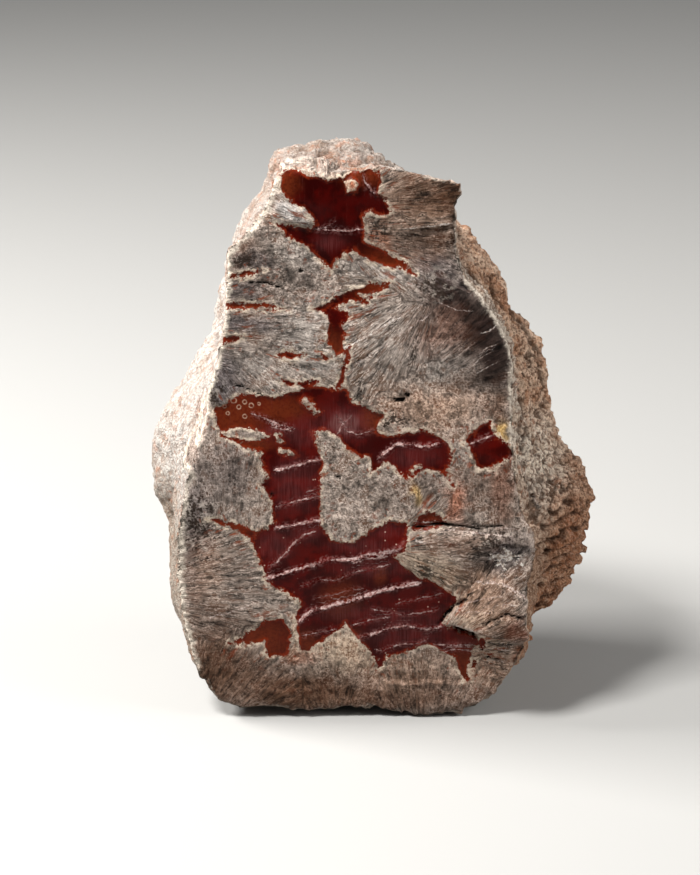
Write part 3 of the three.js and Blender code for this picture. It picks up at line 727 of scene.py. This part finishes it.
keep("face", is_face)
keep("rim_gap", rim_gap + 0.9 * (1 - pale_and_lit_rim))
keep("agate", agate_depth)
keep("seam", np.clip(seam_gap, -3, 3), seam_width, seam_in_stone)
keep("gap", crack_open)
keep("fibre", *fibre.T)
keep("tone", *tone.T, np.ones(count))
# Orange tint, the painted lilac reflection on the agate, and pits.
keep("tint_reflection_and_pits", ember, painted_haze, pitted)
keep("rind", right, right * steps(-behind, -9, -2), spot(x, z, *LIGHT_PATCH))
keep("fibre_strength", fibre_strength)
# The relief's height, from which the finish paints shade into the rind's hollows.
keep("hollow", np.clip(0.5 + 0.8 * np.where(is_face, face_rise, rind_rise), 0, 1))


# ---- The finish of the stone ----
# Natural stone as it broke, with nothing laid on it: matt grey fibrous stone, glossy dark red agate
# with a cream fringe and white seams, and a crumbly rind. The values kept at the vertices say where
# each of them is.

finish = bpy.data.materials.new("agate_and_rind")
finish.use_nodes = True
nodes = finish.node_tree.nodes
shader = nodes["Principled BSDF"]


def feed(socket, value):
    """Links a socket to another, or sets its own value."""
    if isinstance(value, bpy.types.NodeSocket):
        finish.node_tree.links.new(value, socket)
    else:
        socket.default_value = value


def reckon(operation, a, b=0.0, c=0.0):
    """Arithmetic on two or three values."""
    node = nodes.new("ShaderNodeMath")
    node.operation = operation
    for socket, value in zip(node.inputs, (a, b, c)):
        feed(socket, value)
    return node.outputs[0]


# times_plus is the first value times the second, plus the third. size_of drops the sign.
times = partial(reckon, "MULTIPLY")
plus = partial(reckon, "ADD")
minus = partial(reckon, "SUBTRACT")
times_plus = partial(reckon, "MULTIPLY_ADD")
larger = partial(reckon, "MAXIMUM")
size_of = partial(reckon, "ABSOLUTE")


def rise(value, low, high, to_low=0.0, to_high=1.0):
    """to_low below low, to_high above high, and a smooth rise between."""
    node = nodes.new("ShaderNodeMapRange")
    node.interpolation_type = "SMOOTHSTEP"
    for socket, setting in zip(node.inputs, (value, low, high, to_low, to_high)):
        feed(socket, setting)
    return node.outputs[0]


def blend(share, under, over, how="MIX"):
    """A colour laid over another, as fully as the share says."""
    node = nodes.new("ShaderNodeMix")
    node.data_type = "RGBA"
    node.blend_type = how
    feed(node.inputs[0], share)
    for socket, shade in zip(node.inputs[6:8], (under, over)):
        feed(socket, (*shade, 1) if isinstance(shade, tuple) else shade)
    return node.outputs[2]


def dyed(shade, dye):
    """A colour multiplied by a dye: darker below 1, lighter above."""
    return blend(1.0, shade, dye, "MULTIPLY")


def between(share, a, b):
    """a where the share is 0, b where it is 1."""
    node = nodes.new("ShaderNodeMix")
    for index, value in ((0, share), (2, a), (3, b)):
        feed(node.inputs[index], value)
    return node.outputs[0]


def stored(name, output="Fac"):
    """A value kept at the vertices."""
    node = nodes.new("ShaderNodeAttribute")
    node.attribute_name = name
    return node.outputs[output]


def parts(vector):
    """The three parts of a vector."""
    node = nodes.new("ShaderNodeSeparateXYZ")
    feed(node.inputs[0], vector)
    return node.outputs


def scaled(vector, factors):
    """A vector whose parts are multiplied by three factors."""
    node = nodes.new("ShaderNodeVectorMath")
    node.operation = "MULTIPLY"
    feed(node.inputs[0], vector)
    node.inputs[1].default_value = factors
    return node.outputs[0]


def noise_node(at, per_mm):
    """Noise with `per_mm` waves to a millimetre."""
    node = nodes.new("ShaderNodeTexNoise")
    feed(node.inputs["Vector"], at)
    node.inputs["Scale"].default_value = per_mm
    return node


def cloud(at, per_mm, detail=2.0, roughness=0.55):
    """Soft noise as a single value, with finer waves on top as the detail says."""
    node = noise_node(at, per_mm)
    node.inputs["Detail"].default_value = detail
    node.inputs["Roughness"].default_value = roughness
    return node.outputs["Fac"]


def thin_lines(at, per_mm, width):
    """Thin winding lines: where a soft noise crosses its middle."""
    off_middle = size_of(minus(cloud(at, per_mm, 3, 0.6), 0.5))
    return rise(off_middle, width, 0.2 * width)


def cells(at, per_mm):
    """How far from the middle of the nearest of many cells."""
    node = nodes.new("ShaderNodeTexVoronoi")
    feed(node.inputs["Vector"], at)
    node.inputs["Scale"].default_value = per_mm
    return node.outputs["Distance"]


here = scaled(nodes.new("ShaderNodeTexCoord").outputs["Object"], (1 / MM, 1 / MM, 1 / MM))
here_x, _, here_z = parts(here)
ember_share, painted_haze_share, pitted_share = parts(stored("tint_reflection_and_pits", "Vector"))
speckle = cloud(here, 2.5, 3, 0.6)
patchy = cloud(here, 0.35, 3)
mottle = cloud(here, 0.8, 4, 0.65)
uneven = cloud(here, 0.3, 4, 0.7)

# Grey fibrous stone: mid toned and blotchy, under a mesh of fine pale fibres that run along the fans.
FROST_DYE = (1.9, 1.95, 2)
DULL_DYE = (0.6, 0.5, 0.42)
BROWN_DYE = (0.6, 0.42, 0.32)
BLOTCH_DYE = (0.42, 0.26, 0.19)
FIBRE_DYE = (2.6, 2.6, 2.6)
FIBRE_WHITE = (0.8, 0.75, 0.7)
PITTED_STONE = (0.4, 0.35, 0.3)
PIT_SHADE = (0.022, 0.014, 0.010)
CRUST_AND_RIM_LIGHT = (0.56, 0.49, 0.41)

stone_tone = stored("tone", "Color")
tone_level = parts(stone_tone)[1]
strength = rise(stored("fibre_strength"), 0.05, 0.8, 0.2, 0.85)
wavy = blend(0.5, stored("fibre", "Vector"), noise_node(here, 0.6).outputs["Color"], "ADD")


def drawn_out(along, over):
    """Places for a noise that is drawn out along the fibres, by its waves to a mm along and over them."""
    return scaled(wavy, (along, over, 1))


fine_streaks = cloud(drawn_out(0.4, 2.3), 1, 3, 0.6)
broad_streaks = cloud(drawn_out(0.2, 1.3), 1, 4, 0.68)
blotches = between(strength, cloud(here, 1.15, 3, 0.6), cloud(drawn_out(0.3, 1.5), 1, 3, 0.6))
grainy = plus(times_plus(mottle, 0.7, 0.5), times(speckle, 0.3))
rough = between(strength, grainy, plus(broad_streaks, fine_streaks))
frost = between(strength, cloud(here, 0.42, 5, 0.72), cloud(drawn_out(0.16, 0.6), 1, 5, 0.72))
blotch_share = rise(blotches, 0.52, 0.64, 0, rise(strength, 0.2, 0.7, 0.3, 0.75))
matrix = dyed(stone_tone, rise(rough, 0.8, 1.18, 0.06, 1.15))
matrix = blend(rise(frost, 0.52, 0.66, 0, 0.8), matrix, dyed(matrix, FROST_DYE))
matrix = blend(rise(frost, 0.46, 0.34, 0, 0.6), matrix, dyed(matrix, DULL_DYE))
matrix = blend(rise(uneven, 0.5, 0.62, 0, 0.75), matrix, dyed(stone_tone, BROWN_DYE))
matrix = blend(blotch_share, matrix, dyed(stone_tone, BLOTCH_DYE))
short_fibres = larger(thin_lines(here, 0.6, 0.05), thin_lines(here, 1.5, 0.06))
long_fibres = thin_lines(drawn_out(0.13, 1.2), 1, 0.03)
long_fibres = larger(long_fibres, thin_lines(drawn_out(0.3, 2.4), 1, 0.045))
fibre_mesh = between(strength, short_fibres, long_fibres)
fibre_mesh = times(fibre_mesh, rise(speckle, 0.35, 0.55, 0.2, 0.95))
fibre_mesh = times(fibre_mesh, rise(plus(uneven, mottle), 0.8, 1.12, 0.1, 1))
fibre_mesh = times(fibre_mesh, rise(tone_level, 0.014, 0.07, 0.06, 1))
pale_fibre = blend(rise(tone_level, 0.02, 0.12, 0.05, 0.14), dyed(stone_tone, FIBRE_DYE), FIBRE_WHITE)
matrix = blend(fibre_mesh, matrix, pale_fibre)
pit_shade_share = times_plus(pitted_share, -0.26, plus(blotches, speckle))
matrix = blend(times(pitted_share, rise(mottle, 0.5, 0.62, 0, 0.5)), matrix, PITTED_STONE)
# Painted shade in small pits.
matrix = blend(rise(pit_shade_share, 0.80, 0.70, 0, 0.9), matrix, PIT_SHADE)
# The pale crust at the rim: partly painted rim light where it is wide, at the left and upper right.
ragged_rim = times_plus(mottle, 2.2, plus(stored("rim_gap"), -1.1))
crust_and_rim_light = times(rise(ragged_rim, 1.25, 0.4), rise(speckle, 0.3, 0.6, 0.35, 0.95))
matrix = blend(crust_and_rim_light, matrix, CRUST_AND_RIM_LIGHT)

# Agate: glossy dark red, darker still higher up, orange in places and where it is thin, with a
# painted lilac reflection hazed over it, fine upright threads and small round bubbles.
DARK_RED = (0.026, 0.0008, 0.0004)
CLEAR_RED = (0.062, 0.0022, 0.0011)
HIGH_UP_DYE = (0.62, 0.34, 0.28)
EMBER = (0.09, 0.014, 0.004)
THIN_EDGE = (0.16, 0.018, 0.005)
HAZE_REFLECTION = (0.13, 0.034, 0.034)
BRIGHTEST_REFLECTION = (0.14, 0.075, 0.07)
THREAD = (0.2, 0.06, 0.05)
RING = (0.42, 0.28, 0.2)
BUBBLE = (0.4, 0.25, 0.2)
RINGS = [  # round bubbles: x, z and radius in mm
    (-22.7, 50.2, 0.25), (-21.3, 51.1, 0.42), (-19.6, 50.9, 0.3), (-20.5, 50.1, 0.3),
    (-18.6, 50.4, 0.34), (-19.6, 48.7, 0.3), (-22.2, 49.1, 0.25), (-17.4, 50.7, 0.2),
]

edge_noise = times_plus(cloud(here, 1.5, 4, 0.75), 2, -1)
agate_edge = times_plus(edge_noise, rise(patchy, 0.36, 0.62, 0.45, 1.6), stored("agate"))
in_agate_here = rise(agate_edge, -0.03, 0.05)
threads = cloud(scaled(here, (5.5, 1, 0.3)), 1, 2)
high_up = rise(here_z, 40, 75)
thin_edge = times(rise(agate_edge, 0.6, 0.05, 0, 0.85), rise(uneven, 0.4, 0.58, 0.2, 1))
agate = blend(rise(patchy, 0.38, 0.62), DARK_RED, CLEAR_RED)
agate = blend(high_up, agate, dyed(agate, HIGH_UP_DYE))
agate = blend(times(ember_share, rise(speckle, 0.3, 0.6, 0.5, 1)), agate, EMBER)
agate = blend(thin_edge, agate, THIN_EDGE)
# Painted reflection: a lilac haze on the agate, brightest at one spot.
agate = blend(times(painted_haze_share, rise(threads, 0.3, 0.7, 0.1, 0.38)), agate, HAZE_REFLECTION)
agate = blend(rise(painted_haze_share, 1.1, 2.1, 0, rise(threads, 0.3, 0.7, 0.1, 0.6)), agate, BRIGHTEST_REFLECTION)
agate = blend(rise(threads, 0.62, 0.8, 0, 0.12), agate, THREAD)
rings = 0.0
for ring_x, ring_z, radius in RINGS:
    off_x = minus(here_x, ring_x)
    off_z = minus(here_z, ring_z)
    from_middle = reckon("SQRT", times_plus(off_x, off_x, times(off_z, off_z)))
    from_ring = size_of(minus(from_middle, radius))
    rings = larger(rings, rise(from_ring, 0.14, 0.04))
agate = blend(times(rings, rise(speckle, 0.3, 0.6, 0.1, 0.6)), agate, RING)
bubbles = rise(plus(cells(here, 0.9), high_up), 0.13, 0.09)
agate = blend(times(bubbles, rise(patchy, 0.5, 0.6)), agate, BUBBLE)

# The grainy cream fringe that borders the agate, with a thin brown line on its inner side and rusty
# specks beyond it.
RUST_SPECK = (0.17, 0.035, 0.012)
FRINGE = (0.56, 0.46, 0.36)
INNER_LINE = (0.2, 0.05, 0.02)

rust_specks = times(rise(agate_edge, -3, -0.4), rise(blotches, 0.55, 0.63, 0, 0.8))
face_colour = blend(rust_specks, matrix, RUST_SPECK)
fringe = times(rise(agate_edge, -0.8, -0.15), rise(mottle, 0.42, 0.6, 0.1, 0.9))
face_colour = blend(times(fringe, stored("face")), face_colour, FRINGE)
face_colour = blend(rise(agate_edge, -0.2, -0.03, 0, 0.4), face_colour, INNER_LINE)
face_colour = blend(in_agate_here, face_colour, agate)

# Pinkish white seams, ragged and frosted, with painted shade along their lower edge where they are broad.
SEAM_FROST = (0.3, 0.14, 0.13)
PINK_WHITE = (0.46, 0.33, 0.31)
PINK_DARK = (0.2, 0.09, 0.08)
STONE_WHITE = (0.7, 0.65, 0.6)
STONE_DARK = (0.3, 0.24, 0.2)
SEAM_SHADE = (0.015, 0.002, 0.002)

seam_above, seam_breadth, seam_on_stone = parts(stored("seam", "Vector"))
seam_jitter = times_plus(cloud(here, 1.6, 5, 0.85), 0.9, -0.45)
seam_off = plus(seam_above, seam_jitter)
seam_half = times(seam_breadth, rise(cloud(here, 0.5, 5, 0.7), 0.34, 0.66, -0.04, 0.55))
seam_frost = times(rise(size_of(seam_off), 0.9, 0.1, 0, 0.9), seam_breadth)
seam_frost = times(seam_frost, rise(speckle, 0.46, 0.6))
face_colour = blend(times(seam_frost, in_agate_here), face_colour, SEAM_FROST)
in_seam = rise(minus(seam_half, size_of(seam_off)), -0.04, 0.05)
in_seam = times(in_seam, rise(seam_breadth, 0, 0.12))
in_seam = times(in_seam, larger(rise(agate_edge, -0.6, 0), seam_on_stone))
seam_pale = blend(seam_on_stone, PINK_WHITE, STONE_WHITE)
seam_colour = blend(rise(speckle, 0.42, 0.6), blend(seam_on_stone, PINK_DARK, STONE_DARK), seam_pale)
# Painted shade just below the broad seams.
seam_shade = times(rise(seam_off, 0.05, -0.15), rise(seam_off, -0.8, -0.3))
seam_shade = times(seam_shade, rise(seam_breadth, 0.25, 0.5, 0, 0.5))
face_colour = blend(times(seam_shade, in_agate_here), face_colour, SEAM_SHADE)
face_colour = blend(in_seam, face_colour, seam_colour)

# Rind: pale at the left and pinkish brown at the right, in front as behind, with a light patch on
# the right flank and rusty spots. Painted shade darkens it towards the floor, in the dips between
# its grains and in its hollows and gaps.
LEFT_LOW_SHADED = (0.25, 0.215, 0.18)
LEFT_MIDDLE = (0.43, 0.40, 0.37)
LEFT_HIGH = (0.32, 0.28, 0.25)
RIGHT_PINK = (0.78, 0.55, 0.40)
RIGHT_BROWN = (0.60, 0.34, 0.21)
RIGHT_NEAR_FACE = (0.66, 0.56, 0.47)
RIGHT_LOW_SHADE = (0.6, 0.45, 0.36)
RIGHT_LIGHT = (0.98, 0.85, 0.71)
RIGHT_MOTTLE = (0.68, 0.5, 0.38)
UNEVEN_DYE = (0.66, 0.53, 0.44)
RIND_RUST = (0.36, 0.13, 0.055)
RIND_EMBER = (0.27, 0.09, 0.035)
GRAIN_DIP_SHADE = (0.17, 0.085, 0.05)
PALE_SPECK = (0.9, 0.75, 0.62)
DARK_SPECK = (0.11, 0.06, 0.04)
HOLLOW_SHADE = (0.07, 0.037, 0.023)
GAP_SHADE = (0.006, 0.004, 0.003)

right_share, near_face_share, light_share = parts(stored("rind", "Vector"))


def by_side(at_left, at_right):
    """A value for the left of the stone, and one for its right."""
    return rise(right_share, 0, 1, at_left, at_right)


grit = cloud(here, 1.25, 5, 0.72)
grain_dips = times_plus(cells(here, 1.3), 0.35, minus(1.0, grit))
# Painted shade: at the left the rind is darker low down, towards the floor.
left_tone = blend(rise(here_z, 26, 42), LEFT_LOW_SHADED, LEFT_MIDDLE)
left_tone = blend(rise(here_z, 62, 84), left_tone, LEFT_HIGH)
right_tone = blend(rise(uneven, 0.4, 0.6), RIGHT_PINK, RIGHT_BROWN)
right_tone = blend(rise(plus(near_face_share, uneven), 0.75, 1.15), right_tone, RIGHT_NEAR_FACE)
# Painted shade: at the right the rind is darker low down, towards the floor.
right_tone = blend(rise(here_z, 42, 26), right_tone, dyed(right_tone, RIGHT_LOW_SHADE))
right_tone = blend(times(light_share, rise(mottle, 0.4, 0.52, 0.6, 1)), right_tone, RIGHT_LIGHT)
mottle_tone = blend(right_share, left_tone, blend(0.5, right_tone, RIGHT_MOTTLE))
rust_cloud = cloud(here, 0.5, 4, 0.65)
# Where the rind's relief is low, for painted shade in its hollows.
rind_hollow_shade = times_plus(mottle, 0.5, stored("hollow"))
rind = blend(right_share, left_tone, right_tone)
rind = blend(rise(uneven, 0.48, 0.62, 0, 0.6), rind, dyed(rind, UNEVEN_DYE))
rind = blend(rise(mottle, 0.52, 0.66, 0, 0.5), rind, mottle_tone)
rind = blend(rise(rust_cloud, 0.55, 0.68, 0, by_side(0.45, 0.75)), rind, RIND_RUST)
rind = blend(times(ember_share, rise(mottle, 0.44, 0.56)), rind, RIND_EMBER)
# Painted shade in the dips between the rind's grains, where its bump is lowest.
rind = blend(rise(grain_dips, 0.64, 0.8, 0, by_side(0.4, 0.75)), rind, GRAIN_DIP_SHADE)
rind = blend(rise(speckle, 0.5, 0.66, 0, by_side(0.25, 0.42)), rind, blend(0.4, rind, PALE_SPECK))
rind = blend(rise(speckle, 0.46, 0.34, 0, by_side(0.2, 0.55)), rind, DARK_SPECK)
# Painted shade in the rind's hollows, where its relief is lowest.
rind = blend(rise(rind_hollow_shade, 0.72, 0.3, 0, by_side(0.5, 0.75)), rind, HOLLOW_SHADE)

colour = blend(stored("face"), rind, face_colour)
# Painted shade: cracks and holes are painted near black, ragged at their edges.
ragged_gap_shade = times_plus(plus(mottle, speckle), 1.4, minus(stored("gap"), 1.5))
colour = blend(rise(ragged_gap_shade, 0.35, 0.75), colour, GAP_SHADE)
feed(shader.inputs["Base Color"], colour)

# The agate is glossy where it broke and all else is matt. The finest relief is only shaded.
MATT = 0.82
GLOSSY = 0.3
SPECULAR = 0.07

polish = times(in_agate_here, minus(1.0, in_seam))
polish = times(polish, stored("face"))
feed(shader.inputs["Roughness"], rise(polish, 0, 1, MATT, GLOSSY))
shader.inputs["Specular IOR Level"].default_value = SPECULAR

face_relief = times(rough, 0.36)
face_relief = times_plus(fibre_mesh, 0.1, face_relief)
face_relief = times_plus(blotches, -0.3, face_relief)
rind_relief = times_plus(grain_dips, by_side(-0.6, -1.5), times(speckle, 0.3))
relief = between(stored("face"), rind_relief, face_relief)
relief = times(relief, rise(polish, 0, 1, 1, 0.06))
relief = times_plus(threads, times(polish, 0.012), relief)
bump = nodes.new("ShaderNodeBump")
bump.inputs["Strength"].default_value = 1.0
bump.inputs["Distance"].default_value = MM
feed(bump.inputs["Height"], relief)
feed(shader.inputs["Normal"], bump.outputs["Normal"])

nodule_mesh.materials.clear()
nodule_mesh.materials.append(finish)
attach(nodule, "root")
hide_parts("stone")
